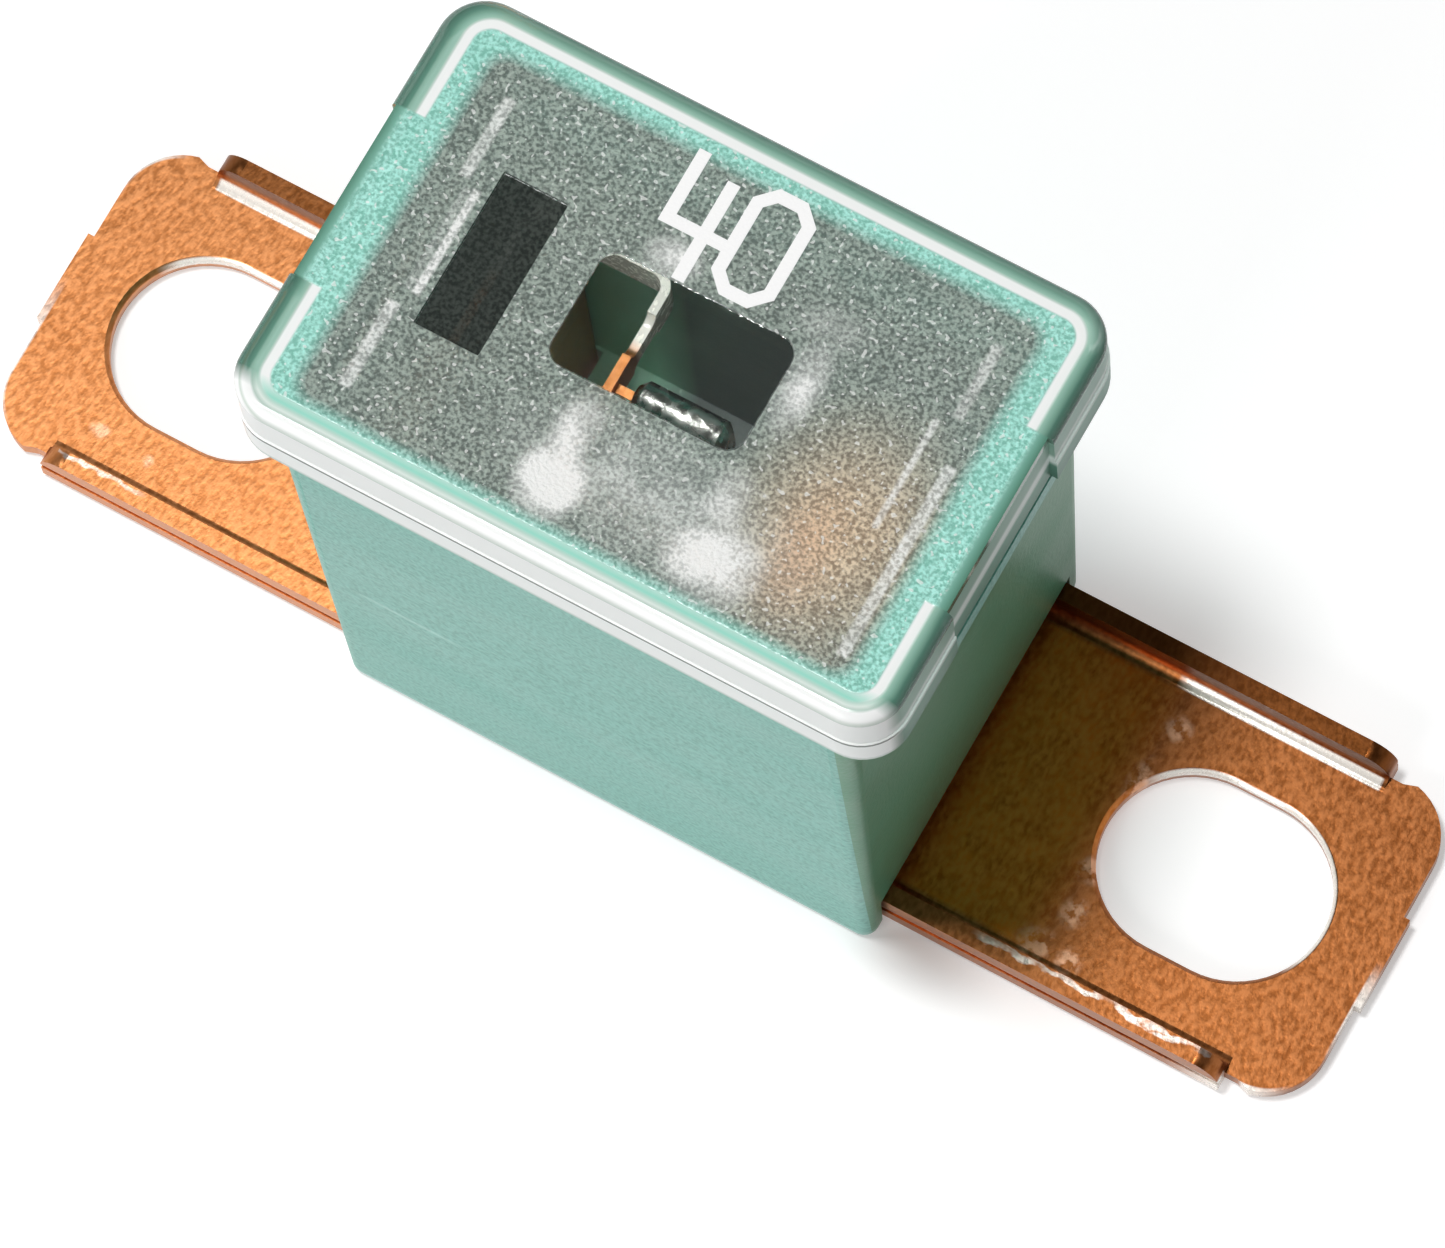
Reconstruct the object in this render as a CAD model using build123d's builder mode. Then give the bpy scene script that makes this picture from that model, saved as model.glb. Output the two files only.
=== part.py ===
from build123d import *
import math
import os

# A bolt-in fusible link: a moulded housing with a clear lid, and one stamped copper
# element whose two blades leave low at the ends. X runs along the blades, Y towards the
# back, Z up. The origin is the middle of the housing's underside. Sizes are millimetres.

# Blades of the element
overall_length = 48.6
blade_width = 12.0
sheet = 0.6
blade_lift = 0.25
flange_height = 1.7
flange_setback = 2.75
flange_end_r = 0.9
fold_r = 0.45
end_corner_r = 2.1
end_drawn_in = 0.35
relief_depth = 0.5
relief_length = 0.9
shear_width = 3.3
shear_proud = 0.22
slot_setback = 6.1
slot_length = 7.7
slot_width = 6.1
slot_edge = 0.15

# Legs and fusible strip inside the housing
leg_pitch = 14.4
leg_width = 10.0
leg_bend_r = 0.5
strip_top = 19.6
strip_height = 1.5
strip_sheet = 0.3
strip_x = -2.35
strip_y = 3.75
strip_bend_r = 0.6
neck_pitch = 3.4
neck_length = 1.5
neck_depth = 0.35
tongue_reach = 3.6
tongue_height = 1.0
tongue_drop = 0.4

# Tin pellet pressed over the strip's tongue
pellet_length = 3.2
pellet_width = 1.15
pellet_height = 2.0
pellet_cap = 0.5
pellet_gap = 0.85
pellet_end_bevel = 0.25
crimp_clearance = 0.02

# Housing
base_length = 19.2
base_depth = 13.86
housing_height = 21.7
draft = 0.6
corner_r = 0.5
base_edge_r = 0.35
side_wall = 1.7
end_wall = 1.1
cavity_corner_r = 0.6
floor_thickness = 1.5
channel_height = 2.2
blade_clearance = 0.15
leg_clearance = 0.15
collar_end_wall = 1.0
collar_side_wall = 0.53
collar_clearance = 0.15
seat_clearance = 0.03
ledge_height = 0.8
ledge_inset = 0.25

# Lid
lid_gap = 0.3
lid_over_x = 1.48
lid_over_y = 0.35
lid_height = 3.4
lid_panel = 1.0
lid_rim = 0.6
lid_corner_r = 1.6
lid_edge_r = 0.4
lid_step = 0.06
lid_step_height = 1.4
latch_width = 6.1
latch_inset = 0.25
latch_land = 1.2
rib_thickness = 0.6
rib_length = 10.0
rib_depth = 1.9
rib_clearance = 0.15
rib_back_thickness = 0.5
rib_back_length = 4.5
label_x = -6.05
label_y = 0.0
label_length = 5.4
label_width = 2.2
label_depth = 0.12

# Sizes that follow from the ones above
growth = 2 * housing_height * math.tan(math.radians(draft))
top_length = base_length + growth
top_depth = base_depth + growth
cavity_length = top_length - 2 * end_wall
cavity_depth = top_depth - 2 * side_wall
floor_top = channel_height + floor_thickness
flange_start = (base_length - end_wall) / 2
flange_stop = overall_length / 2 - flange_setback
slot_pitch = overall_length - 2 * slot_setback
leg_outside = (leg_pitch + sheet) / 2
leg_inside = (leg_pitch - sheet) / 2
strip_bottom = strip_top - strip_height
pellet_start = strip_x + pellet_gap
lid_length = top_length + 2 * lid_over_x
lid_depth = top_depth + 2 * lid_over_y
lid_bottom = housing_height + lid_gap
lid_top = lid_bottom + lid_height
pocket_length = lid_length - 2 * lid_rim
pocket_depth = lid_depth - 2 * lid_rim
pocket_height = lid_height - lid_panel
collar_length = pocket_length - 2 * collar_clearance
collar_depth = pocket_depth - 2 * collar_clearance
mouth_length = collar_length - 2 * collar_end_wall
mouth_depth = collar_depth - 2 * collar_side_wall
collar_rise = lid_gap + pocket_height - seat_clearance
ledge_length = lid_length - 2 * ledge_inset
ledge_depth = top_depth - 2 * ledge_inset
rib_pitch = cavity_length - 2 * rib_clearance - rib_thickness

os.makedirs("parts", exist_ok=True)

# Copper element, one stamped and folded sheet
with BuildPart() as fuse_element:
    # Plan of the right blade: neck at the flange end, rounded corners, sheared tip
    half = blade_width / 2
    neck = half - relief_depth
    corner = half - end_drawn_in
    end = overall_length / 2 - shear_proud
    with BuildSketch(Plane.XY.offset(blade_lift)):
        with BuildLine():
            Polyline(
                (leg_outside, 0),
                (leg_outside, leg_width / 2),
                (flange_start, leg_width / 2),
                (flange_start, half),
                (flange_stop, half),
                (flange_stop, neck),
                (flange_stop + relief_length / 2, neck),
                (flange_stop + relief_length, corner),
            )
            RadiusArc((flange_stop + relief_length, corner), (end, corner - end_corner_r), end_corner_r)
            Polyline(
                (end, corner - end_corner_r),
                (end, shear_width / 2),
                (end + shear_proud, shear_width / 2),
                (end + shear_proud, 0),
            )
            mirror(about=Plane.XZ)
        make_face()
    extrude(amount=sheet)

    # Side flanges, folded up from the blade's long edges
    with BuildSketch(Plane.YZ.offset(flange_start)) as section:
        with Locations((0, blade_lift + flange_height / 2)):
            Rectangle(blade_width, flange_height)
        with Locations((0, blade_lift + sheet + flange_height / 2)):
            Rectangle(blade_width - 2 * sheet, flange_height, mode=Mode.SUBTRACT)
        fillet(section.vertices().group_by(Axis.Y)[1], fold_r)
        fillet(section.vertices().group_by(Axis.Y)[0], fold_r + sheet)
    extrude(amount=flange_stop - flange_start)
    flange_tips = fuse_element.edges().filter_by(Axis.Y).group_by(Axis.Z)[-1].group_by(Axis.X)[-1]
    fillet(flange_tips, flange_end_r)

    # Bolt slot
    with BuildSketch(Plane.XY.offset(blade_lift)):
        with Locations((slot_pitch / 2, 0)):
            SlotOverall(slot_length, slot_width)
    extrude(amount=sheet, mode=Mode.SUBTRACT)
    top_edges = fuse_element.edges().filter_by_position(Axis.Z, blade_lift + sheet, blade_lift + sheet)
    slot_rim = top_edges.filter_by(lambda edge: edge.length > sheet).sort_by_distance(
        (slot_pitch / 2, 0, blade_lift + sheet)
    )[:4]
    chamfer(slot_rim, slot_edge)

    # Leg, bent up through the housing's floor
    with BuildSketch(Plane.XZ.offset(-leg_width / 2)) as leg_section:
        with BuildLine():
            Polyline(
                (leg_inside, blade_lift),
                (flange_start, blade_lift),
                (flange_start, blade_lift + sheet),
                (leg_outside, blade_lift + sheet),
                (leg_outside, strip_bottom),
                (leg_inside, strip_bottom),
                close=True,
            )
        make_face()
        bend = leg_section.vertices().sort_by_distance((leg_outside, blade_lift + sheet, 0))[0]
        fillet(bend, leg_bend_r)
        heel = leg_section.vertices().sort_by_distance((leg_inside, blade_lift, 0))[0]
        fillet(heel, leg_bend_r + sheet)
    extrude(amount=leg_width)
    mirror(about=Plane.YZ)

    # Fusible strip on edge, folded to and fro from one leg to the other
    with BuildSketch(Plane.XY.offset(strip_bottom)):
        with BuildLine():
            FilletPolyline(
                (-leg_pitch / 2, -leg_width / 2),
                (-leg_pitch / 2, strip_y),
                (strip_x, strip_y),
                (strip_x, -strip_y),
                (leg_pitch / 2, -strip_y),
                (leg_pitch / 2, leg_width / 2),
                radius=strip_bend_r,
            )
        trace(line_width=strip_sheet)
    extrude(amount=strip_height)
    # Necks, where the strip is narrowed on both sides of its middle
    with BuildSketch(Plane.YZ.offset(strip_x)):
        with Locations((0, (strip_bottom + strip_top) / 2)):
            with GridLocations(neck_pitch, strip_height, 2, 2):
                SlotOverall(neck_length, 2 * neck_depth)
    extrude(amount=strip_sheet, both=True, mode=Mode.SUBTRACT)
    # Tongue bent out of the strip's middle, which carries the pellet
    with BuildSketch(Plane.XY.offset(strip_top - tongue_drop)):
        with Locations((strip_x, 0)):
            Rectangle(tongue_reach, strip_sheet, align=(Align.MIN, Align.CENTER))
    extrude(amount=-tongue_height)

# Tin pellet, a saddle pressed over the tongue
with BuildPart() as tin_pellet:
    with BuildSketch(Plane.YZ.offset(pellet_start)):
        with Locations((0, strip_top + pellet_cap - pellet_height / 2)):
            SlotOverall(pellet_height, pellet_width, rotation=90)
    extrude(amount=pellet_length)
    chamfer(tin_pellet.faces().filter_by(Axis.X).edges(), pellet_end_bevel)
    with BuildSketch(Plane.YZ.offset(pellet_start)):
        with Locations((0, strip_top - tongue_drop + crimp_clearance)):
            Rectangle(
                strip_sheet + 2 * crimp_clearance,
                tongue_height + pellet_height,
                align=(Align.CENTER, Align.MAX),
            )
    extrude(amount=pellet_length, mode=Mode.SUBTRACT)

# Housing, moulded with draft, open at the top and with a channel for the blades below
with BuildPart() as housing:
    with BuildSketch():
        RectangleRounded(base_length, base_depth, corner_r)
    extrude(amount=housing_height, taper=-draft)
    fillet(housing.faces().sort_by(Axis.Z)[0].edges(), base_edge_r)
    # Ledges that stand out at both ends under the lid's rim
    with BuildSketch(Plane.XY.offset(housing_height)):
        RectangleRounded(ledge_length, ledge_depth, lid_corner_r - ledge_inset)
    extrude(amount=-ledge_height)
    # Raised collar that the lid fits over; its top carries the lid's panel
    with BuildSketch(Plane.XY.offset(housing_height)):
        RectangleRounded(collar_length, collar_depth, lid_corner_r - lid_rim - collar_clearance)
        RectangleRounded(mouth_length, mouth_depth, cavity_corner_r, mode=Mode.SUBTRACT)
    extrude(amount=collar_rise)
    # Cavity for the legs and the strip
    with BuildSketch(Plane.XY.offset(housing_height)):
        RectangleRounded(cavity_length, cavity_depth, cavity_corner_r)
    extrude(amount=floor_top - housing_height, taper=draft, mode=Mode.SUBTRACT)
    # Channel that the blades lie in, right through both end walls
    with BuildSketch():
        Rectangle(2 * base_length, blade_width + 2 * blade_clearance)
    extrude(amount=channel_height, mode=Mode.SUBTRACT)
    # Slots in the floor for the legs
    with BuildSketch(Plane.XY.offset(channel_height)):
        with GridLocations(leg_pitch, 0, 2, 1):
            Rectangle(sheet + 2 * leg_clearance, leg_width + 2 * leg_clearance)
    extrude(amount=floor_thickness, mode=Mode.SUBTRACT)

# Lid, a clear cap with a rounded rim that rests on the collar
with BuildPart() as lid:
    with BuildSketch(Plane.XY.offset(lid_bottom)):
        RectangleRounded(lid_length, lid_depth, lid_corner_r)
    extrude(amount=lid_step_height)
    with BuildSketch(Plane.XY.offset(lid_bottom)):
        RectangleRounded(lid_length - 2 * lid_step, lid_depth - 2 * lid_step, lid_corner_r - lid_step)
    extrude(amount=lid_height)
    fillet(lid.faces().sort_by(Axis.Z)[-1].edges(), lid_edge_r)
    # Flat lands in the middle of the short sides, where the rim is interrupted
    with BuildSketch(Plane.XY.offset(lid_bottom)):
        with GridLocations(lid_length - latch_inset, 0, 2, 1):
            Rectangle(latch_inset, latch_width)
    extrude(amount=lid_height, mode=Mode.SUBTRACT)
    with BuildSketch(Plane.XY.offset(lid_bottom)):
        with GridLocations(lid_length - 2 * latch_inset - latch_land, 0, 2, 1):
            Rectangle(latch_land, latch_width)
    extrude(amount=lid_height)
    # Hollow under the panel
    with BuildSketch(Plane.XY.offset(lid_bottom)):
        RectangleRounded(pocket_length, pocket_depth, lid_corner_r - lid_rim)
    extrude(amount=pocket_height, mode=Mode.SUBTRACT)
    # Ribs that drop inside the housing's end walls
    with BuildSketch(Plane.XY.offset(lid_top - lid_panel)):
        with GridLocations(rib_pitch, 0, 2, 1):
            Rectangle(rib_thickness, rib_length)
        with GridLocations(rib_pitch - rib_thickness, 0, 2, 1):
            Rectangle(2 * rib_back_thickness, rib_back_length)
    extrude(amount=-rib_depth)
    # Shallow bare panel in the top
    with BuildSketch(Plane.XY.offset(lid_top)):
        with Locations((label_x, label_y)):
            Rectangle(label_width, label_length)
    extrude(amount=-label_depth, mode=Mode.SUBTRACT)

for name, piece in (
    ("housing", housing),
    ("lid", lid),
    ("fuse_element", fuse_element),
    ("tin_pellet", tin_pellet),
):
    piece.part.label = name
    export_step(piece.part, f"parts/{name}.step")
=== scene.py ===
import math
import bpy
import bmesh
from mathutils import Matrix, Vector


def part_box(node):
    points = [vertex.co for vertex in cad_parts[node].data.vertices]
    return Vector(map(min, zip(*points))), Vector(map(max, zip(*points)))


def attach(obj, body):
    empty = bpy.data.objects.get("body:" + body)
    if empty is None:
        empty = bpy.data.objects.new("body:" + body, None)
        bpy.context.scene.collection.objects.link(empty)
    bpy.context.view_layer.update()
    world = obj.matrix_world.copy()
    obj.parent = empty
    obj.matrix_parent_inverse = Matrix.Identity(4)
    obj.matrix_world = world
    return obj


# Dressing of a bolt-in fusible link: teal housing, clear lid with a frosted panel and a
# window, copper blades, and the strip and tin pellet that show through the window.
# Lengths named here are millimetres; MM turns them into the scene's metres.

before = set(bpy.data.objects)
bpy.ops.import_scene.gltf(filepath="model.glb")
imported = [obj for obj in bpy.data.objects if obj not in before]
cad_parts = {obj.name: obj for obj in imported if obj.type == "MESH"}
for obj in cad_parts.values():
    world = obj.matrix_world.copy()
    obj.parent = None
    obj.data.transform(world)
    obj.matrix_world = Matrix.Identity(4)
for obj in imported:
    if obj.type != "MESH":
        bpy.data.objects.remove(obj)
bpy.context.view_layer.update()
MM = 0.001

# Camera, set to the photo's viewing angle
view_azimuth = math.radians(38.53)
view_elevation = math.radians(71.68)
view_roll = math.radians(9.56)
view_distance = 290.6
view_aim_height = 6.0
view_aim_right = 0.563
view_aim_up = -1.908
lens = 230.4
film_width = 36

# Brightness of the surround: as it lights the part, how far that leans from right to left,
# and as it mirrors from above, between two heights of the sky
fill_level = 0.16
fill_lean = 0.55
ceiling_level = 0.08
ceiling_start, ceiling_end = 0.25, 0.75

# Lamps: name, the way towards it, its distance and size in metres, and its power in watts
lamps = (
    ("main lamp", (-0.175, -0.05, 1.0), 0.42, 0.07, 1.0),
    ("front lamp", (-0.2, -0.85, 0.5), 0.40, 0.20, 0.55),
)

# Floor: size in metres, grey, glow to the camera, less of it in a painted shadow by the part's right end,
# and the middle and radius of that painted shadow in millimetres
floor_size = 2.0
floor_grey = 0.80
floor_glow, floor_glow_in_shadow = 0.42, 0.05
floor_shadow = ((11.2, -6.6), (3.6, 1.9))

# Outer sizes of the lid
lid_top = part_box("lid")[1].z / MM
lid_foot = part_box("lid")[0].z / MM
lid_half_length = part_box("lid")[1].x / MM
lid_half_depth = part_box("lid")[1].y / MM

# Sizes that the finishes follow on the lid; a reach is the half width of what it covers
side_height = 3.4
top_edge_depth = 0.42
polished_rim = 1.0
rim_reach = 1.2
rim_corner = 1.6
rim_shift = 0.12
bright_line, bright_line_reach = 0.82, 0.14
wall_reach = 0.47
near_wall_reach = 1.05
right_wall_reach = 0.6
land_half_width = 3.05
land_end_reach = 2.0
land_frost = 0.6
land_wall_reach = 0.62
mouth_centre = (0.1, -0.17)
mouth_half = (9.4, 6.17)
window_centre = (0.02, 0.13)
window_half = (3.28, 1.97)
window_corner = 0.6
label_centre = (-6.05, 0.0)
label_half = (1.1, 2.7)
deepest_inset = 20.0

# Sizes that the finishes follow on the housing
end_wall_foot = 9.53
end_wall_lean = 0.0105
collar_foot = 20.8
crease_height = 10.0
foot_line_height = 0.42
hollow_half = (8.75, 5.55)
hollow_corner = 0.5

# Sizes that the finishes follow on the copper element
blade_half = (24.2, 5.7)
blade_corner = 2.1
blade_top = 1.2
slot_centre = 18.2
slot_half = (3.85, 3.05)
slot_rim_foot = 0.48
root_middle, root_reach = 11.6, 2.4
fold_line = 5.12
fold_line_end = 21.4
flange_top = 1.85
torn_line = -5.4
strip_foot = 17.0


def camera():
    """The photo's camera: a long lens from high on the right, rolled a little."""
    a, e, r = view_azimuth, view_elevation, view_roll
    right = Vector((math.cos(a), math.sin(a), 0))
    back = Vector((math.sin(a) * math.cos(e), -math.cos(a) * math.cos(e), math.sin(e)))
    up = back.cross(right)
    across = math.cos(r) * right - math.sin(r) * up
    upward = math.sin(r) * right + math.cos(r) * up
    place = Vector((0, 0, view_aim_height)) + view_distance * back
    place += view_aim_right * across + view_aim_up * upward
    turn = Matrix((across, upward, back)).transposed().to_4x4()
    data = bpy.data.cameras.new("camera")
    data.lens = lens
    data.sensor_width = film_width
    data.clip_start, data.clip_end = 0.01, 10
    made = bpy.data.objects.new("camera", data)
    made.matrix_world = Matrix.Translation(place * MM) @ turn
    bpy.context.scene.collection.objects.link(made)
    bpy.context.scene.camera = made


class Finish:
    """A material's node tree, with short calls for adding and joining nodes."""

    def __init__(self, name):
        self.material = bpy.data.materials.new(name)
        self.material.use_nodes = True
        self.tree = self.material.node_tree
        self.shader = self.tree.nodes["Principled BSDF"]
        self.output = self.tree.nodes["Material Output"]

    def add(self, kind, **settings):
        return add_node(self.tree, kind, **settings)

    def join(self, start, end):
        self.tree.links.new(start, end)

    def math(self, operation, a, b=None):
        return add_math(self.tree, operation, a, b)

    def group(self, tree, **values):
        return add_group(self.tree, tree, **values)

    def axes(self):
        """Where a point lies along, across and up the part, in millimetres."""
        place = self.group(shared["place"])
        return tuple(place.outputs[axis] for axis in "XYZ")

    def grain(self, size, contrast, detail, stretch=(1.0, 1.0, 1.0)):
        """A mask of cloudy grain as wide as size, in millimetres."""
        made = self.group(shared["grain"], Size=size, Contrast=contrast, Stretch=stretch, Detail=detail)
        return made.outputs["Mask"]

    def area(self, centre, half, corner, edge):
        """A rounded rectangle seen from above, as a mask and as the distance from its outline."""
        made = self.group(shared["area"], Centre_X=centre[0], Centre_Y=centre[1],
                          Half_X=half[0], Half_Y=half[1], Corner=corner, Edge=edge)
        return made.outputs["Mask"], made.outputs["Distance"]

    def spot(self, centre, radius):
        """A soft oval spot seen from above."""
        made = self.group(shared["spot"], Centre_X=centre[0], Centre_Y=centre[1],
                          Radius_X=radius[0], Radius_Y=radius[1])
        return made.outputs["Mask"]

    def blend(self, mask, low, high):
        """A colour that goes from low to high as the mask goes from 0 to 1."""
        mix = self.add("ShaderNodeMix", data_type="RGBA")
        self.join(mask, mix.inputs["Factor"])
        for socket, colour in ((mix.inputs[6], low), (mix.inputs[7], high)):
            feed(self.tree, colour, socket)
        return mix.outputs[2]

    def spread(self, mask, low, high):
        """A number that goes from low to high as the mask goes from 0 to 1."""
        ramp = self.add("ShaderNodeMapRange")
        self.join(mask, ramp.inputs["Value"])
        ramp.inputs["To Min"].default_value = low
        ramp.inputs["To Max"].default_value = high
        return ramp.outputs["Result"]

    def bands(self, value, reach, stops):
        """Colours side by side: each stop is a value from 0 to reach, and the colour there."""
        ramp = self.add("ShaderNodeValToRGB")
        self.join(self.math("DIVIDE", value, reach), ramp.inputs[0])
        marks = ramp.color_ramp.elements
        for mark, (at, colour) in ((marks[0], stops[0]), (marks[1], stops[-1])):
            mark.position = at / reach
            mark.color = (*colour, 1)
        for at, colour in stops[1:-1]:
            marks.new(at / reach).color = (*colour, 1)
        return ramp.outputs["Color"]

    def near(self, value, centre, reach, edge):
        """1 where value is within reach of centre and 0 beyond, over a soft edge."""
        off = self.math("ABSOLUTE", self.math("SUBTRACT", value, centre))
        ramp = self.add("ShaderNodeMapRange")
        self.join(off, ramp.inputs["Value"])
        ramp.inputs["From Min"].default_value = reach + edge / 2
        ramp.inputs["From Max"].default_value = reach - edge / 2
        return ramp.outputs["Result"]

    def further_in(self, distance, inset, edge):
        """1 where a point is further in from an outline than inset; distance is measured outward."""
        return self.near(self.math("ADD", distance, deepest_inset), 0.0, deepest_inset - inset, edge)

    def above(self, value, limit):
        return self.math("GREATER_THAN", value, limit)

    def below(self, value, limit):
        return self.math("LESS_THAN", value, limit)

    def share(self, mask, amount):
        """A mask at a share of its strength."""
        return self.math("MULTIPLY", mask, amount)

    def at_most(self, mask, limit):
        return self.math("MINIMUM", mask, limit)

    def less(self, mask):
        """A mask turned over."""
        return self.math("SUBTRACT", 1.0, mask)

    def any_of(self, first, *others):
        """The highest of several masks."""
        for mask in others:
            first = self.math("MAXIMUM", first, mask)
        return first

    def both(self, first, *others):
        """Several masks multiplied together, 1 only where all of them are."""
        for mask in others:
            first = self.math("MULTIPLY", first, mask)
        return first

    def relief(self, height, depth):
        """A bump normal from a height mask; depth is its full height in millimetres."""
        bump = self.add("ShaderNodeBump")
        self.join(height, bump.inputs["Height"])
        bump.inputs["Distance"].default_value = depth * MM
        bump.inputs["Strength"].default_value = 1.0
        self.join(bump.outputs["Normal"], self.shader.inputs["Normal"])
        return bump


def add_node(tree, kind, **settings):
    node = tree.nodes.new(kind)
    for key, value in settings.items():
        setattr(node, key, value)
    return node


def feed(tree, value, socket):
    """Joins a socket to value, or sets it if value is a number or a colour."""
    if isinstance(value, bpy.types.NodeSocket):
        tree.links.new(value, socket)
    elif isinstance(value, tuple) and len(value) == 3 and len(socket.default_value) == 4:
        socket.default_value = (*value, 1)
    else:
        socket.default_value = value


def add_math(tree, operation, a, b=None):
    node = add_node(tree, "ShaderNodeMath", operation=operation)
    feed(tree, a, node.inputs[0])
    if b is not None:
        feed(tree, b, node.inputs[1])
    return node.outputs[0]


def add_group(tree, inner, **values):
    node = add_node(tree, "ShaderNodeGroup", node_tree=inner)
    for key, value in values.items():
        feed(tree, value, node.inputs[key.replace("_", " ")])
    return node


def new_group(name, inputs, outputs):
    """An empty node group; inputs and outputs are (name, kind, default) rows."""
    tree = bpy.data.node_groups.new(name, "ShaderNodeTree")
    for rows, way in ((inputs, "INPUT"), (outputs, "OUTPUT")):
        for label, kind, default in rows:
            made = tree.interface.new_socket(name=label, in_out=way, socket_type=kind)
            if default is not None:
                made.default_value = default
    return tree, tree.nodes.new("NodeGroupInput"), tree.nodes.new("NodeGroupOutput")


def place_group():
    """Where a point lies on the object, in millimetres."""
    tree, _, out = new_group(
        "Place on the part",
        [],
        [("Place", "NodeSocketVector", None), ("X", "NodeSocketFloat", None),
         ("Y", "NodeSocketFloat", None), ("Z", "NodeSocketFloat", None)],
    )
    where = add_node(tree, "ShaderNodeTexCoord")
    scale = add_node(tree, "ShaderNodeVectorMath", operation="SCALE")
    scale.inputs["Scale"].default_value = 1 / MM
    tree.links.new(where.outputs["Object"], scale.inputs[0])
    parts = add_node(tree, "ShaderNodeSeparateXYZ")
    tree.links.new(scale.outputs[0], parts.inputs[0])
    tree.links.new(scale.outputs[0], out.inputs["Place"])
    for axis in "XYZ":
        tree.links.new(parts.outputs[axis], out.inputs[axis])
    return tree


def grain_group():
    """Cloudy grain between 0 and 1; Size is the grain's width in millimetres."""
    tree, given, out = new_group(
        "Grain",
        [("Size", "NodeSocketFloat", 1.0), ("Contrast", "NodeSocketFloat", 1.0),
         ("Stretch", "NodeSocketVector", (1.0, 1.0, 1.0)), ("Detail", "NodeSocketFloat", 3.0)],
        [("Mask", "NodeSocketFloat", None)],
    )
    place = add_group(tree, shared["place"])
    stretched = add_node(tree, "ShaderNodeVectorMath", operation="DIVIDE")
    tree.links.new(place.outputs["Place"], stretched.inputs[0])
    tree.links.new(given.outputs["Stretch"], stretched.inputs[1])
    noise = add_node(tree, "ShaderNodeTexNoise")
    tree.links.new(stretched.outputs[0], noise.inputs["Vector"])
    tree.links.new(add_math(tree, "DIVIDE", 1.0, given.outputs["Size"]), noise.inputs["Scale"])
    tree.links.new(given.outputs["Detail"], noise.inputs["Detail"])
    centred = add_math(tree, "SUBTRACT", noise.outputs["Fac"], 0.5)
    scaled = add_math(tree, "MULTIPLY", centred, given.outputs["Contrast"])
    moved = add_node(tree, "ShaderNodeMath", operation="ADD", use_clamp=True)
    tree.links.new(scaled, moved.inputs[0])
    moved.inputs[1].default_value = 0.5
    tree.links.new(moved.outputs[0], out.inputs["Mask"])
    return tree


def area_group():
    """1 inside a rounded rectangle seen from above, 0 outside, with an edge as wide as Edge."""
    tree, given, out = new_group(
        "Rounded area",
        [("Centre X", "NodeSocketFloat", 0.0), ("Centre Y", "NodeSocketFloat", 0.0),
         ("Half X", "NodeSocketFloat", 1.0), ("Half Y", "NodeSocketFloat", 1.0),
         ("Corner", "NodeSocketFloat", 0.2), ("Edge", "NodeSocketFloat", 0.1)],
        [("Mask", "NodeSocketFloat", None), ("Distance", "NodeSocketFloat", None)],
    )
    place = add_group(tree, shared["place"])
    beyond, over = [], []
    for axis in "XY":
        offset = add_math(tree, "SUBTRACT", place.outputs[axis], given.outputs["Centre " + axis])
        reach = add_math(tree, "SUBTRACT", add_math(tree, "ABSOLUTE", offset), given.outputs["Half " + axis])
        over.append(add_math(tree, "ADD", reach, given.outputs["Corner"]))
        beyond.append(add_math(tree, "POWER", add_math(tree, "MAXIMUM", over[-1], 0.0), 2.0))
    outside = add_math(tree, "SQRT", add_math(tree, "ADD", beyond[0], beyond[1]))
    inside = add_math(tree, "MINIMUM", add_math(tree, "MAXIMUM", over[0], over[1]), 0.0)
    distance = add_math(tree, "SUBTRACT", add_math(tree, "ADD", outside, inside), given.outputs["Corner"])
    edge = add_math(tree, "DIVIDE", distance, given.outputs["Edge"])
    mask = add_node(tree, "ShaderNodeMath", operation="SUBTRACT", use_clamp=True)
    mask.inputs[0].default_value = 0.5
    tree.links.new(edge, mask.inputs[1])
    tree.links.new(mask.outputs[0], out.inputs["Mask"])
    tree.links.new(distance, out.inputs["Distance"])
    return tree


def spot_group():
    """A soft oval spot seen from above, 1 in its middle and 0 at its radius."""
    tree, given, out = new_group(
        "Soft spot",
        [("Centre X", "NodeSocketFloat", 0.0), ("Centre Y", "NodeSocketFloat", 0.0),
         ("Radius X", "NodeSocketFloat", 1.0), ("Radius Y", "NodeSocketFloat", 1.0)],
        [("Mask", "NodeSocketFloat", None)],
    )
    place = add_group(tree, shared["place"])
    squares = []
    for axis in "XY":
        offset = add_math(tree, "SUBTRACT", place.outputs[axis], given.outputs["Centre " + axis])
        part = add_math(tree, "DIVIDE", offset, given.outputs["Radius " + axis])
        squares.append(add_math(tree, "POWER", add_math(tree, "ABSOLUTE", part), 2.0))
    distance = add_math(tree, "SQRT", add_math(tree, "ADD", squares[0], squares[1]))
    fade = add_node(tree, "ShaderNodeMapRange", interpolation_type="SMOOTHSTEP")
    tree.links.new(distance, fade.inputs["Value"])
    fade.inputs["From Min"].default_value = 1.0
    fade.inputs["From Max"].default_value = 0.0
    tree.links.new(fade.outputs["Result"], out.inputs["Mask"])
    return tree


shared = {}
shared["place"] = place_group()
shared["spot"] = spot_group()
shared["grain"] = grain_group()
shared["area"] = area_group()

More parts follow.
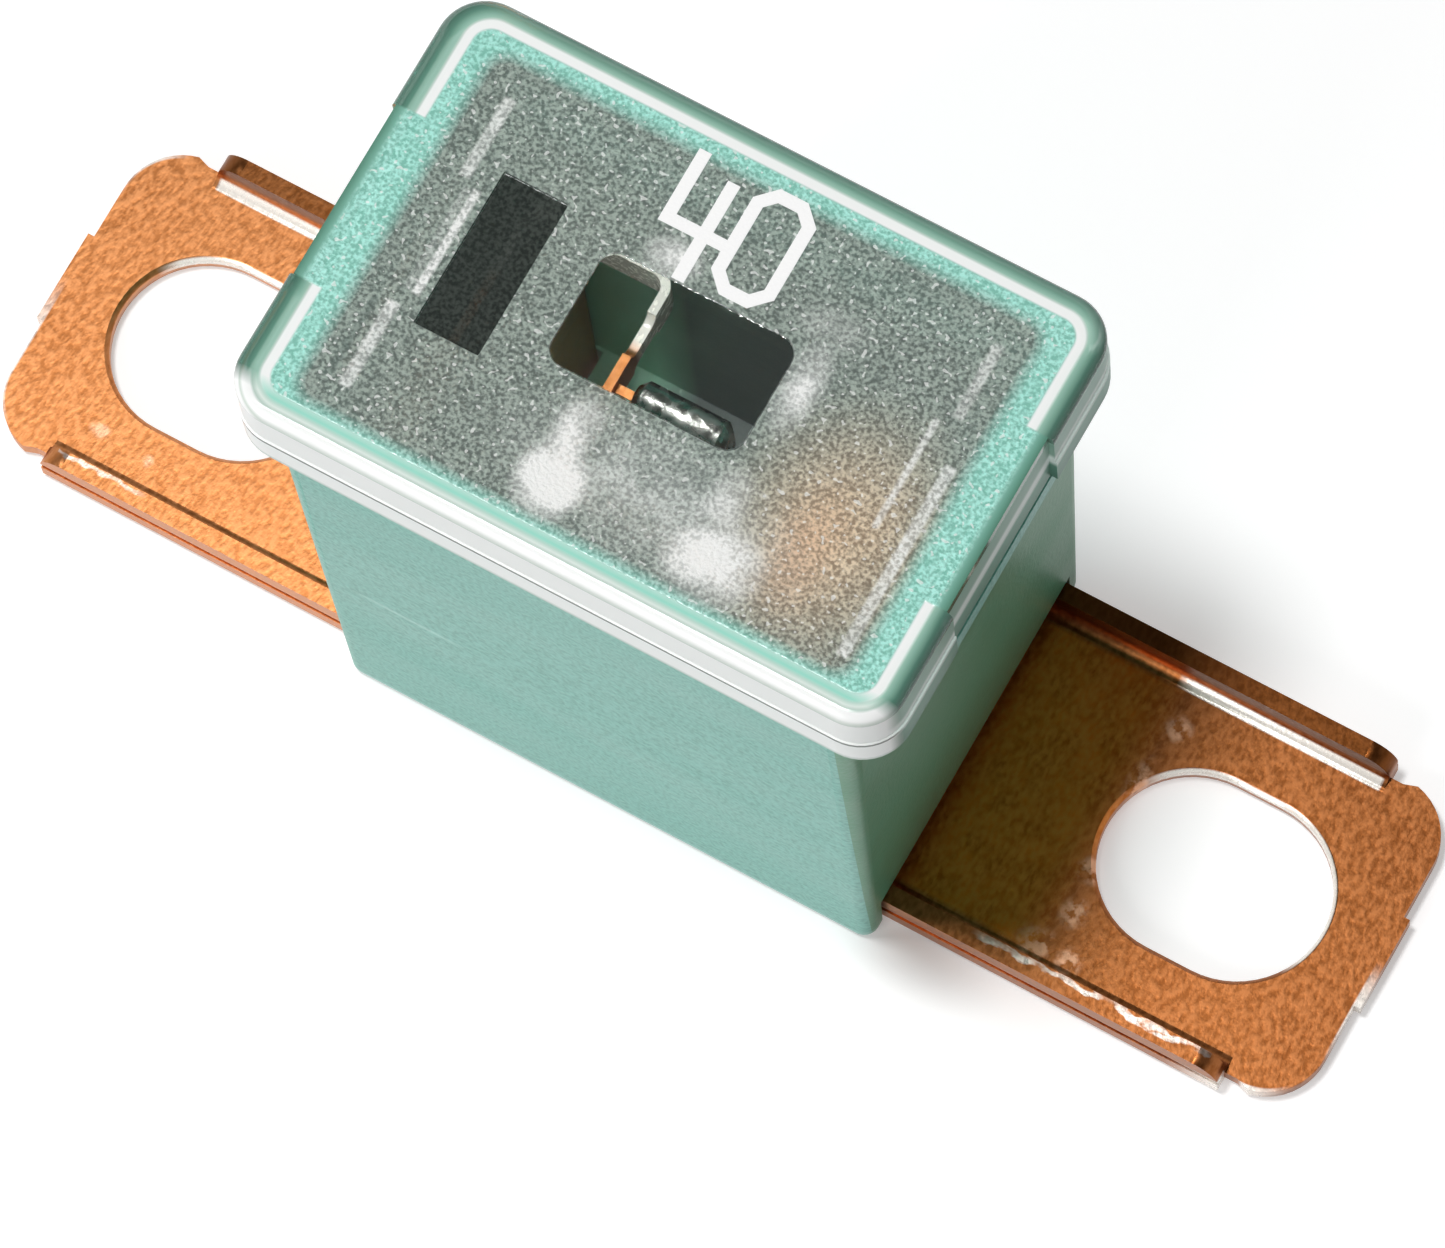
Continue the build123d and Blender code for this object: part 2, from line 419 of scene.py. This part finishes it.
# Colours of the housing; a pair is its dark and its light
teal_cloud = ((0.118, 0.372, 0.308), (0.196, 0.515, 0.44))
teal_streak = (0.24, 0.55, 0.47)
teal_skin = ((0.11, 0.35, 0.285), (0.22, 0.55, 0.47))
teal_shaded_end = (0.08, 0.262, 0.13)
teal_glint = (0.50, 0.78, 0.72)
teal_foot_shade = (0.05, 0.16, 0.12)
hollow_painted_shade, hollow_painted_light = (0.155, 0.19, 0.185), (0.44, 0.80, 0.62)


def teal_plastic():
    """Moulded glass-filled plastic: satin, faintly cloudy, with a fine skin, and painted shade and light on its
    right end wall, its foot and inside its hollow.
    """
    f = Finish("teal moulded plastic")
    along, across, up = f.axes()
    cloud = f.grain(6.0, 1.6, 4.0, stretch=(2.0, 1.0, 0.5))
    streak = f.grain(0.9, 1.8, 3.0, stretch=(3.0, 3.0, 0.5))
    skin = f.grain(0.17, 2.6, 3.0)
    colour = f.blend(cloud, *teal_cloud)
    colour = f.blend(f.share(streak, 0.4), colour, teal_streak)
    colour = f.blend(f.share(skin, 0.7), f.blend(skin, teal_skin[0], colour), teal_skin[1])

    # Painted shade on the right end wall, which leans in a little towards the top
    from_foot = f.math("ADD", along, f.math("MULTIPLY", up, end_wall_lean))
    end = f.both(f.above(from_foot, end_wall_foot), f.below(up, collar_foot))
    colour = f.blend(f.share(end, 0.85), colour, teal_shaded_end)

    # Painted highlights along a faint ridge on the front wall and along the edge at the foot, and painted shade
    # below that edge
    front = f.less(f.near(across, 6.0, 11.0, 0.5))
    crease = f.both(f.near(along, -6.3, 1.6, 1.2), f.near(up, crease_height, 0.1, 0.2), front)
    foot = f.near(up, foot_line_height, 0.1, 0.12)
    colour = f.blend(f.any_of(f.share(crease, 0.5), f.share(foot, 0.4)), colour, teal_glint)
    colour = f.blend(f.share(f.near(up, 0.0, 0.18, 0.1), 0.5), colour, teal_foot_shade)

    # The hollow's inside: painted shade, grey, to the right, and painted light, a bright teal, to the left
    hollow, _ = f.area((0, 0), hollow_half, hollow_corner, 0.1)
    inside = f.both(hollow, f.below(up, collar_foot))
    hollow_light_and_shade = f.blend(f.near(along, -9.0, 5.0, 1.5), hollow_painted_shade, hollow_painted_light)
    f.join(f.blend(inside, colour, hollow_light_and_shade), f.shader.inputs["Base Color"])
    f.join(f.spread(cloud, 0.34, 0.48), f.shader.inputs["Roughness"])
    f.relief(skin, 0.008)
    return f.material


# Painted highlights, reflections and shade across the lid's rim: white bands, dark edges and the teal
# of the collar seen through; each colour with its distance in from the lid's outline
rim_painted_light_bands = (
    (0.00, (0.05, 0.12, 0.085)), (0.10, (0.055, 0.14, 0.10)), (0.30, (0.12, 0.28, 0.21)),
    (0.44, (0.24, 0.46, 0.36)), (0.60, (0.40, 0.66, 0.54)), (0.70, (0.93, 0.96, 0.94)),
    (0.94, (0.96, 0.97, 0.96)), (1.04, (0.42, 0.74, 0.65)),
)
near_rim_painted_light_bands = (
    (0.00, (0.97, 0.98, 0.97)), (0.06, (0.62, 0.70, 0.64)), (0.14, (0.97, 0.98, 0.97)),
    (0.36, (0.97, 0.98, 0.97)), (0.44, (0.50, 0.64, 0.57)), (0.56, (0.78, 0.88, 0.82)),
    (0.66, (0.56, 0.74, 0.66)), (0.76, (0.36, 0.76, 0.63)), (1.04, (0.34, 0.72, 0.60)),
)
land_painted_light_bands = (
    (0.00, (0.60, 0.80, 0.72)), (0.08, (0.12, 0.30, 0.22)), (0.25, (0.11, 0.28, 0.20)),
    (0.45, (0.20, 0.46, 0.36)), (0.75, (0.38, 0.72, 0.60)), (1.20, (0.40, 0.76, 0.64)),
)
# Painted reflections, highlights and shade up the lid's side faces: the housing's teal seen through, a white
# highlight line on the right, and on the near side a white reflection with a painted shadow line below its step;
# each colour with its height above the lid's foot
side_painted_light_bands = (
    (0.00, (0.20, 0.42, 0.34)), (1.30, (0.28, 0.50, 0.41)), (1.42, (0.14, 0.30, 0.23)),
    (3.40, (0.26, 0.48, 0.39)),
)
right_side_painted_light_bands = (
    (0.00, (0.07, 0.21, 0.15)), (1.05, (0.13, 0.32, 0.24)), (1.35, (0.80, 0.90, 0.86)),
    (1.70, (0.82, 0.92, 0.88)), (2.00, (0.26, 0.44, 0.36)), (3.40, (0.22, 0.42, 0.33)),
)
near_side_painted_light_bands = (
    (0.00, (0.50, 0.60, 0.55)), (0.25, (0.97, 0.98, 0.97)), (1.20, (0.97, 0.98, 0.97)),
    (1.25, (0.10, 0.11, 0.10)), (1.34, (0.14, 0.15, 0.14)), (1.40, (0.97, 0.98, 0.97)),
    (3.40, (0.97, 0.98, 0.97)),
)
# Painted highlights where the lid's ribs and the housing's collar show through: centre, half size, strength
rib_painted_highlights = (
    ((-7.55, -0.05), (0.13, 1.85), 1.2), ((-8.13, 3.4), (0.19, 1.4), 0.75),
    ((-7.97, -3.9), (0.2, 1.5), 0.85), ((8.42, 3.6), (0.17, 1.3), 0.6),
    ((9.0, -2.4), (0.18, 3.3), 0.8), ((7.93, 0.1), (0.1, 1.9), 0.8),
    ((-7.86, -0.05), (0.12, 1.8), 0.3), ((1.2, -2.5), (3.6, 0.08), 0.25),
)
# Painted shade beside a rib: centre and half size
rib_shade = ((-8.55, -3.95), (0.12, 1.45))
# Pale blooms of lamp light in the frosting: centre, radius and strength
blooms = (
    ((-1.1, -5.0), (1.5, 1.6), 2.2), ((-1.25, -3.6), (1.1, 1.9), 1.1),
    ((4.2, -4.9), (2.2, 1.8), 1.4), ((3.7, -3.6), (1.1, 2.0), 0.8),
    ((3.95, 1.0), (0.9, 2.2), 0.7), ((-1.4, 2.7), (1.2, 0.9), 0.9),
    ((1.5, -4.2), (6.5, 2.6), 0.35), ((3.9, 3.0), (1.6, 1.0), 0.25),
)
# Where painted warm light from the copper below tints the frosting, and where its painted glow is strongest
warm_place = ((7.0, -2.6), (4.2, 5.2))
glow_place = ((6.4, -3.5), (1.5, 3.0))

# Colours of the lid; a pair is its dark and its light. Over the collar and the copper, the frosting is
# painted with the light that shows through from them
frost_over_hollow = ((0.10, 0.13, 0.115), (0.42, 0.50, 0.44))
frost_over_copper = ((0.32, 0.225, 0.14), (0.92, 0.74, 0.52))
frost_over_collar = ((0.20, 0.52, 0.42), (0.50, 0.94, 0.84))
copper_glow = (0.80, 0.42, 0.22)
rib_shade_colour = (0.06, 0.09, 0.08)
frost_glint = (0.97, 0.98, 0.96)
plate_colour = ((0.02, 0.026, 0.023), (0.05, 0.06, 0.053))
clear_tint = (0.95, 0.97, 0.96, 1)
window_shadow, frost_shadow = (0.92, 0.94, 0.93), (0.50, 0.51, 0.50)


def clear_plastic():
    """Clear moulded lid: polished rim and window, frosted panel with a sparkle, dark plate, and painted
    highlights, reflections and shade on its rim, sides and frosting.
    """
    f = Finish("clear moulded plastic")
    along, across, height = f.axes()
    top = f.above(height, lid_top - top_edge_depth)
    window, _ = f.area(window_centre, window_half, window_corner, 0.08)
    label, _ = f.area(label_centre, label_half, 0.1, 0.06)
    mouth, _ = f.area(mouth_centre, mouth_half, 0.7, 0.5)
    _, outline = f.area((0, 0), (lid_half_length, lid_half_depth), rim_corner, 0.1)
    _, rim_outline = f.area((rim_shift, 0), (lid_half_length - rim_shift, lid_half_depth), rim_corner, 0.1)
    inward = f.math("MULTIPLY", rim_outline, -1.0)
    outer = f.near(outline, 0.0, wall_reach, 0.06)
    near_side = f.near(across, -lid_half_depth, near_wall_reach, 0.5)
    right_side = f.near(along, lid_half_length, right_wall_reach, 0.3)
    land = f.both(f.near(across, 0.0, land_half_width, 0.08),
                  f.near(f.math("ABSOLUTE", along), lid_half_length, land_end_reach, 0.1))

    # Frosting: salt-and-pepper grain, painted with what shows through it: teal over the collar, grey over the
    # hollow and a warm glow over the copper
    fine = f.grain(0.125, 4.0, 2.0)
    coarse = f.grain(0.9, 2.4, 2.0)
    sparkle = f.math("MULTIPLY", fine, f.spread(coarse, 0.75, 1.0))
    warm = f.spot(*warm_place)
    glow = f.both(f.spot(*glow_place), f.spread(fine, 0.15, 0.42))
    dark_grain = f.blend(warm, frost_over_hollow[0], frost_over_copper[0])
    pale_grain = f.blend(warm, frost_over_hollow[1], frost_over_copper[1])
    grey = f.blend(glow, f.blend(sparkle, dark_grain, pale_grain), copper_glow)
    frost = f.blend(mouth, f.blend(sparkle, *frost_over_collar), grey)

    # Painted highlights in the frosting: rib lines, blooms and single bright specks, and painted shade beside a
    # rib
    lines = f.any_of(*[
        f.share(f.area(centre, half, 0.05, 0.1)[0], strength) for centre, half, strength in rib_painted_highlights
    ])
    lines = f.both(lines, f.spread(fine, 0.45, 1.1), f.spread(coarse, 0.6, 1.1))
    bloom = f.any_of(*[f.share(f.spot(centre, radius), strength) for centre, radius, strength in blooms])
    bloom = f.at_most(f.both(bloom, f.spread(fine, 0.7, 1.2), f.spread(coarse, 0.5, 1.4)), 1.0)
    specks = f.math("MAXIMUM", f.math("SUBTRACT", f.grain(0.16, 2.0, 0.0), 0.93), 0.0)
    specks = f.at_most(f.math("MULTIPLY", specks, 12.0), 0.6)
    shaded, _ = f.area(*rib_shade, 0.05, 0.1)
    frost = f.blend(f.share(shaded, 0.4), frost, rib_shade_colour)
    frost = f.blend(f.any_of(lines, bloom, specks), frost, frost_glint)

    # Top face: polished rim and lands of the latches in their painted bands of light and shade, frosted panel
    # and dark plate
    rim = f.blend(near_side, f.bands(inward, rim_reach, rim_painted_light_bands), f.bands(inward, rim_reach, near_rim_painted_light_bands))
    rim = f.blend(land, rim, f.bands(f.math("MULTIPLY", outline, -1.0), rim_reach, land_painted_light_bands))
    panel = f.any_of(f.further_in(rim_outline, polished_rim, 0.06),
                     f.both(land, f.further_in(outline, land_frost, 0.2)))
    face = f.blend(panel, rim, frost)
    face = f.blend(label, face, f.blend(fine, *plate_colour))

    # Side faces, in their painted bands of reflection, highlight and shade
    up = f.math("SUBTRACT", height, lid_foot)
    sides = f.blend(right_side, f.bands(up, side_height, side_painted_light_bands), f.bands(up, side_height, right_side_painted_light_bands))
    sides = f.blend(near_side, sides, f.bands(up, side_height, near_side_painted_light_bands))
    colour = f.blend(top, sides, face)

    # How much of the milky, painted layer covers the clear plastic: hardly in the window, fully on the plate,
    # the painted bright line and the near side's painted reflection
    clear = f.less(window)
    frosted = f.both(panel, top, clear, f.less(label))
    solid = f.any_of(f.near(inward, bright_line, bright_line_reach, 0.06), label,
                     f.both(near_side, f.less(panel)))
    on_top = f.both(top, clear, f.spread(f.any_of(solid, f.share(panel, 0.5)), 0.8, 0.98))
    walls = f.any_of(outer, f.both(land, f.near(outline, 0.0, land_wall_reach, 0.04)))
    wall_haze_and_painted_light = f.any_of(f.spread(f.any_of(near_side, right_side), 0.68, 0.92), f.both(right_side, land))
    on_sides = f.both(f.less(top), walls, wall_haze_and_painted_light)

    f.shader.inputs["Base Color"].default_value = clear_tint
    f.join(f.spread(frosted, 0.03, 0.38), f.shader.inputs["Roughness"])
    f.shader.inputs["Transmission Weight"].default_value = 1.0
    f.shader.inputs["IOR"].default_value = 1.49
    bump = f.relief(f.math("MULTIPLY", fine, frosted), 0.012)
    haze_and_painted_light = f.add("ShaderNodeBsdfPrincipled")
    f.join(colour, haze_and_painted_light.inputs["Base Color"])
    f.join(f.spread(f.any_of(frosted, f.share(f.less(top), 0.6)), 0.15, 0.6), haze_and_painted_light.inputs["Roughness"])
    f.join(bump.outputs["Normal"], haze_and_painted_light.inputs["Normal"])
    haze_and_painted_light.inputs["Specular IOR Level"].default_value = 0.3
    plastic = f.add("ShaderNodeMixShader")
    f.join(f.any_of(on_top, on_sides), plastic.inputs[0])
    f.join(f.shader.outputs[0], plastic.inputs[1])
    f.join(haze_and_painted_light.outputs[0], plastic.inputs[2])

    # Light goes straight through to the hollow, less of it through the frosting
    through = f.add("ShaderNodeBsdfTransparent")
    f.join(f.blend(f.both(top, clear), window_shadow, frost_shadow), through.inputs["Color"])
    path = f.add("ShaderNodeLightPath")
    lit = f.add("ShaderNodeMixShader")
    f.join(path.outputs["Is Shadow Ray"], lit.inputs[0])
    f.join(plastic.outputs[0], lit.inputs[1])
    f.join(through.outputs[0], lit.inputs[2])
    f.join(lit.outputs[0], f.output.inputs["Surface"])
    return f.material


# Pale marks of the press tool on the blades: centre and radius
press_marks = (
    ((14.3, -4.6), (0.9, 0.7)), ((15.5, -4.7), (0.6, 0.6)), ((14.9, 3.7), (0.6, 0.6)),
    ((14.6, 1.6), (0.5, 1.1)), ((14.75, -1.7), (0.7, 0.6)), ((14.9, -3.2), (0.6, 0.7)),
    ((-20.5, -4.0), (0.5, 0.35)), ((-18.6, -4.2), (0.3, 0.3)),
)
# Where the blades' outer edges are painted bright: centre and radius
bright_corner_spots = (
    ((22.0, -5.9), (2.6, 1.4)), ((24.2, -1.9), (0.7, 2.0)),
    ((-24.1, -3.0), (1.4, 3.2)), ((-23.6, 4.6), (1.2, 1.6)),
)

# Colours of the copper; a pair is its dark and its light. The left blade's are lighter than the right's:
# partly tarnish, and partly painted light where the lamp's highlight falls
left_copper = ((0.43, 0.15, 0.044), (0.52, 0.195, 0.064))
right_copper = ((0.22, 0.067, 0.017), (0.29, 0.096, 0.026))
left_fleck, right_fleck = (0.60, 0.25, 0.095), (0.37, 0.135, 0.045)
root_painted_light = ((0.68, 0.17, 0.016), (0.92, 0.26, 0.028))
root_painted_light_fleck = (0.90, 0.34, 0.06)
flange_shade = (0.10, 0.03, 0.006)
press_mark_colour = (0.86, 0.50, 0.32)
bright_metal = (1.0, 0.95, 0.88)


def copper_sheet():
    """Rolled copper, handled and tarnished, with painted highlights on its folds, slot rims, flange top and
    strip, painted bright outer corners, painted light in the shaded root and painted shade on the far flange.
    """
    f = Finish("rolled copper")
    along, across, up = f.axes()
    side = f.spread(f.math("MULTIPLY", along, 0.06), 0.0, 1.0)
    tarnish = f.grain(3.0, 2.2, 4.0)
    mottle = f.grain(0.16, 3.2, 3.0, stretch=(1.0, 1.9, 1.0))
    colour = f.blend(side, f.blend(tarnish, *left_copper), f.blend(tarnish, *right_copper))
    fleck = f.blend(side, left_fleck, right_fleck)
    low = f.near(up, 0.0, blade_top, 0.05)

    # The shaded root of the right blade, painted lighter and more orange as light thrown back into its shade,
    # with a cloudy grain
    root = f.both(f.near(along, root_middle, root_reach, 1.2), f.near(across, 0.0, 4.9, 0.2), low)
    root_grain = f.grain(1.1, 4.0, 3.0)
    colour = f.blend(root, colour, f.blend(root_grain, *root_painted_light))
    fleck = f.blend(root, fleck, root_painted_light_fleck)

    # Painted shade on the inner face of the far flange, and a painted highlight on the far part of the fusible
    # strip
    inner = f.both(f.near(across, 5.75, 0.45, 0.1), f.near(up, 1.75, 0.5, 0.3))
    strip = f.both(f.above(up, strip_foot), f.near(across, 6.0, 4.6, 0.5))

    # Painted highlight along the far fold, on the right blade only beyond the shade
    fold = f.both(f.near(across, fold_line, 0.19, 0.05), low, f.less(f.near(along, 6.0, 8.4, 0.6)),
                  f.near(along, 0.0, fold_line_end, 0.1))

    # Painted highlights on the far and right sides of the slots' rims
    slot_rims = []
    for x in (-slot_centre, slot_centre):
        _, outline = f.area((x, 0), slot_half, slot_half[1], 0.1)
        lean = f.math("ADD", f.math("MULTIPLY", f.math("SUBTRACT", along, x), 0.16),
                      f.math("MULTIPLY", across, 0.32))
        slot_rims.append(f.both(f.near(outline, 0.02, 0.09, 0.05), low, f.above(up, slot_rim_foot),
                                f.near(lean, 10.1, 10.0, 0.3)))

    # Torn top of the near flange with a painted highlight, and the marks of the press tool
    tear = f.grain(0.5, 4.0, 3.0, stretch=(2.0, 1.0, 1.0))
    torn = f.both(f.near(f.math("ADD", across, f.math("MULTIPLY", tear, 0.25)), torn_line, 0.09, 0.08),
                  f.above(up, flange_top), f.spread(tear, 0.1, 1.2),
                  f.less(f.near(along, -2.6, 15.6, 1.0)))
    crumbs = f.grain(0.42, 4.0, 3.0)
    marks = f.any_of(*[f.spot(centre, radius) for centre, radius in press_marks])
    marks = f.at_most(f.both(marks, low, f.spread(crumbs, -0.5, 2.2)), 1.0)

    # Painted bright edge around the blades' outer corners
    _, border = f.area((0, 0), blade_half, blade_corner, 0.1)
    corners = f.any_of(*[f.spot(centre, radius) for centre, radius in bright_corner_spots])
    corners = f.both(corners, f.near(border, 0.1, 0.26, 0.06), low)

    white = f.any_of(fold, strip, corners, *slot_rims)
    painted_bright_marks = f.any_of(white, f.share(torn, 0.8))
    colour = f.blend(f.share(inner, 0.75), f.blend(mottle, colour, fleck), flange_shade)
    colour = f.blend(f.share(marks, 0.6), colour, press_mark_colour)
    f.join(f.blend(painted_bright_marks, colour, bright_metal), f.shader.inputs["Base Color"])
    f.join(f.spread(white, 1.0, 0.25), f.shader.inputs["Metallic"])
    f.join(f.math("SUBTRACT", f.spread(mottle, 0.32, 0.40), f.share(painted_bright_marks, 0.1)),
           f.shader.inputs["Roughness"])
    f.relief(mottle, 0.003)
    return f.material


def tin():
    """Pressed tin, bright with small press marks."""
    f = Finish("pressed tin")
    marks = f.grain(0.5, 2.5, 2.0)
    f.join(f.blend(marks, (0.30, 0.30, 0.28), (0.62, 0.61, 0.58)), f.shader.inputs["Base Color"])
    f.shader.inputs["Metallic"].default_value = 1.0
    f.join(f.spread(marks, 0.18, 0.34), f.shader.inputs["Roughness"])
    f.relief(marks, 0.03)
    return f.material


def white_print():
    """Hot-stamped white figures."""
    f = Finish("white print")
    grain = f.grain(0.1, 1.5, 2.0)
    f.join(f.blend(grain, (0.96, 0.96, 0.96), (0.99, 0.99, 0.98)), f.shader.inputs["Base Color"])
    f.join(f.spread(grain, 0.4, 0.55), f.shader.inputs["Roughness"])
    f.relief(grain, 0.004)
    return f.material


def finish_node(name, material, edge=0.0):
    """Gives a CAD node its material, and breaks its sharp edges by edge millimetres."""
    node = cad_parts[name]
    node.data.materials.clear()
    node.data.materials.append(material)
    weld = node.modifiers.new("joined faces", "WELD")
    weld.merge_threshold = 1e-6
    if edge:
        bevel = node.modifiers.new("broken edges", "BEVEL")
        bevel.width = edge * MM
        bevel.segments = 2
        bevel.limit_method = "ANGLE"
        bevel.angle_limit = math.radians(40)
        bevel.harden_normals = True


# Outlines of the rating figures, seen from above, and how far the print stands up
figure_height = 0.02
four_outline = (
    (-2.4, 6.1), (-1.98, 6.1), (-1.98, 3.95), (-1.15, 3.95), (-1.15, 5.6), (-0.73, 5.6),
    (-0.73, 3.95), (-0.25, 3.95), (-0.25, 3.55), (-0.73, 3.55), (-0.73, 2.15), (-1.15, 2.15),
    (-1.15, 3.55), (-2.4, 3.55),
)
nought_outer = (
    (0.35, 2.35), (1.3, 2.35), (1.9, 2.95), (1.9, 5.5), (1.3, 6.1), (0.35, 6.1),
    (-0.25, 5.5), (-0.25, 2.95),
)
nought_inner = (
    (0.5, 2.77), (1.15, 2.77), (1.48, 3.1), (1.48, 5.35), (1.15, 5.68), (0.5, 5.68),
    (0.17, 5.35), (0.17, 3.1),
)


def rating_figures():
    """The plain rating figures printed on the lid."""
    mesh = bmesh.new()
    low, high = (lid_top - figure_height) * MM, (lid_top + figure_height) * MM

    def ring(points, z):
        return [mesh.verts.new((x * MM, y * MM, z)) for x, y in points]

    def walls(one, two):
        for k in range(len(one)):
            mesh.faces.new((one[k - 1], one[k], two[k], two[k - 1]))

    top, bottom = ring(four_outline, high), ring(four_outline, low)
    mesh.faces.new(top)
    mesh.faces.new(bottom)
    walls(top, bottom)
    rings = [ring(points, z) for z in (high, low) for points in (nought_outer, nought_inner)]
    for one, two in ((0, 1), (2, 3), (0, 2), (1, 3)):
        walls(rings[one], rings[two])
    bmesh.ops.recalc_face_normals(mesh, faces=mesh.faces)
    data = bpy.data.meshes.new("rating_figures")
    mesh.to_mesh(data)
    mesh.free()
    made = bpy.data.objects.new("rating_figures", data)
    bpy.context.scene.collection.objects.link(made)
    data.materials.append(white_print())
    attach(made, "root")


def pale_floor():
    """Matt floor that glows a little to the camera, and less in a painted shadow spot by the part's right end.
    """
    bpy.ops.mesh.primitive_plane_add(size=floor_size, location=(0, 0, 0))
    floor = bpy.context.object
    floor.name = "floor"
    f = Finish("pale floor")
    f.shader.inputs["Base Color"].default_value = (floor_grey, floor_grey, floor_grey, 1)
    f.shader.inputs["Roughness"].default_value = 0.9
    glow = f.add("ShaderNodeEmission")
    path = f.add("ShaderNodeLightPath")
    seen = f.any_of(path.outputs["Is Camera Ray"], path.outputs["Is Glossy Ray"],
                    path.outputs["Is Transmission Ray"])
    shadow = f.spot(*floor_shadow)
    f.join(f.math("MULTIPLY", seen, f.spread(shadow, floor_glow, floor_glow_in_shadow)), glow.inputs["Strength"])
    matt_and_glow = f.add("ShaderNodeAddShader")
    f.join(f.shader.outputs[0], matt_and_glow.inputs[0])
    f.join(glow.outputs[0], matt_and_glow.inputs[1])
    f.join(matt_and_glow.outputs[0], f.output.inputs["Surface"])
    floor.data.materials.append(f.material)


def surround():
    """White to the camera, a soft fill that is stronger from the left, a dark ceiling in mirrors."""
    world = bpy.data.worlds.new("surround")
    bpy.context.scene.world = world
    world.use_nodes = True
    tree = world.node_tree
    ground = tree.nodes["Background"]
    path = add_node(tree, "ShaderNodeLightPath")
    facing = add_node(tree, "ShaderNodeTexCoord")
    axes = add_node(tree, "ShaderNodeSeparateXYZ")
    tree.links.new(facing.outputs["Generated"], axes.inputs[0])
    ceiling = add_node(tree, "ShaderNodeMapRange")
    tree.links.new(axes.outputs["Z"], ceiling.inputs["Value"])
    ceiling.inputs["From Min"].default_value = ceiling_start
    ceiling.inputs["From Max"].default_value = ceiling_end
    ceiling.inputs["To Min"].default_value = 1.0
    ceiling.inputs["To Max"].default_value = ceiling_level
    mirrored = add_math(tree, "MAXIMUM", path.outputs["Is Glossy Ray"], path.outputs["Is Transmission Ray"])
    lean = add_math(tree, "MULTIPLY", axes.outputs["X"], fill_level * fill_lean)
    fill = add_math(tree, "SUBTRACT", fill_level, lean)
    level = add_math(tree, "ADD", add_math(tree, "MULTIPLY", mirrored, ceiling.outputs[0]),
                     add_math(tree, "MULTIPLY", add_math(tree, "SUBTRACT", 1.0, mirrored), fill))
    level = add_math(tree, "MAXIMUM", level, path.outputs["Is Camera Ray"])
    tree.links.new(level, ground.inputs["Strength"])
    ground.inputs["Color"].default_value = (1, 1, 1, 1)


def soft_lamps():
    """Square lamps that face the part."""
    for name, way, distance, size, power in lamps:
        lamp = bpy.data.lights.new(name, "AREA")
        lamp.energy, lamp.size = power, size
        made = bpy.data.objects.new(name, lamp)
        towards = Vector(way).normalized()
        made.location = towards * distance
        made.rotation_mode = "QUATERNION"
        made.rotation_quaternion = towards.to_track_quat("Z", "Y")
        bpy.context.scene.collection.objects.link(made)


camera()
finish_node("housing", teal_plastic(), 0.06)
finish_node("lid", clear_plastic())
finish_node("fuse_element", copper_sheet(), 0.1)
finish_node("tin_pellet", tin(), 0.05)
rating_figures()
pale_floor()
surround()
soft_lamps()

bpy.context.scene.view_settings.view_transform = "Standard"
